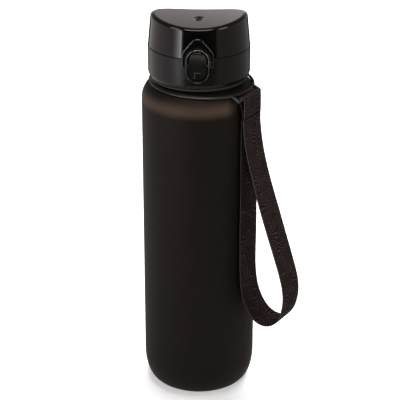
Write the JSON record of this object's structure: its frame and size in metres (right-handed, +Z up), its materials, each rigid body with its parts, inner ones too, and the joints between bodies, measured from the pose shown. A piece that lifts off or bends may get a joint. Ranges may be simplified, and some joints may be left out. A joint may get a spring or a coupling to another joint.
{
  "type": "drinking bottle",
  "caption": "Tall cylindrical screw-cap drinking bottle with a scooped flip-top lid, push button, lock bail and a webbing carry strap on a neck collar.",
  "frame": {"origin": "centre of the base, on the surface the bottle stands on", "axes": "+Z up along the bottle's axis, the push button faces -Y, the lid's hinge is on +Y"},
  "size_m": [0.1132, 0.0897, 0.2807],
  "materials": {
    "frosted_shell": "frosted smoky translucent copolyester",
    "gloss_shell": "gloss black moulded plastic",
    "bezel": "bright plated trim",
    "button_plastic": "dark grey gloss plastic",
    "bail_plastic": "black satin gloss plastic",
    "inner_plastic": "satin black plastic",
    "spout_plastic": "satin food-contact plastic",
    "silicone": "translucent grey silicone",
    "collar_rubber": "soft black moulded rubber",
    "webbing": "woven narrow webbing with a raised wave pattern",
    "thread": "dark sewing thread",
    "spring_steel": "drawn spring wire",
    "steel_pin": "ground stainless pin"
  },
  "bodies": {
    "bottle": {"bottle_body": "frosted_shell"},
    "collar": {"strap_ring": "collar_rubber"},
    "strap": {"strap_webbing": "webbing", "strap_stitching": "thread"},
    "gasket_carrier": {"neck_gasket": "silicone"},
    "cap": {"inner_cap": "inner_plastic", "drinking_spout": "spout_plastic", "spout_washer": "silicone", "vent_valve": "silicone", "cap_shell": "gloss_shell", "button_bezel": "bezel", "bail_pins": "steel_pin", "hinge_pin": "steel_pin", "button_springs": "spring_steel", "hinge_spring": "spring_steel"},
    "button": {"push_button": "button_plastic"},
    "bail": {"lock_bail": "bail_plastic"},
    "lid": {"lid_shell": "gloss_shell", "lid_liner": "inner_plastic", "lid_catch": "inner_plastic", "spout_seal": "silicone"}
  },
  "joints": [
    {"name": "cap_lift", "type": "slide", "parent": "bottle", "child": "gasket_carrier", "axis": [0, 0, 1], "range_m": [0, 0.02]},
    {"name": "cap_turn", "type": "hinge", "parent": "gasket_carrier", "child": "cap", "pos_m": [0, 0, 0.237], "axis": [0, 0, 1], "range_deg": [0, 1440]},
    {"name": "lid_hinge", "type": "hinge", "parent": "cap", "child": "lid", "pos_m": [0, 0.0346, 0.2612], "axis": [-1, 0, 0], "range_deg": [0, 115], "deforming": ["hinge_spring"]},
    {"name": "button_press", "type": "slide", "parent": "cap", "child": "button", "axis": [0, 1, 0], "range_m": [0, 0.0015], "stiffness_N_per_m": 300, "deforming": ["button_springs"]},
    {"name": "bail_swing", "type": "hinge", "parent": "cap", "child": "bail", "pos_m": [0, -0.036, 0.254], "axis": [1, 0, 0], "range_deg": [0, 165]},
    {"name": "ring_turn", "type": "hinge", "parent": "bottle", "child": "collar", "pos_m": [0, 0, 0.23], "axis": [0, 0, 1], "continuous": true},
    {"name": "strap_swing", "type": "hinge", "parent": "collar", "child": "strap", "pos_m": [0.03487, -0.02054, 0.22726], "axis": [-0.5075, -0.8616, 0], "range_deg": [0, 100]}
  ],
  "couplings": [
    {"joint": "cap_lift", "follows": "cap_turn", "m_per_rad": 0.00079577}
  ]
}
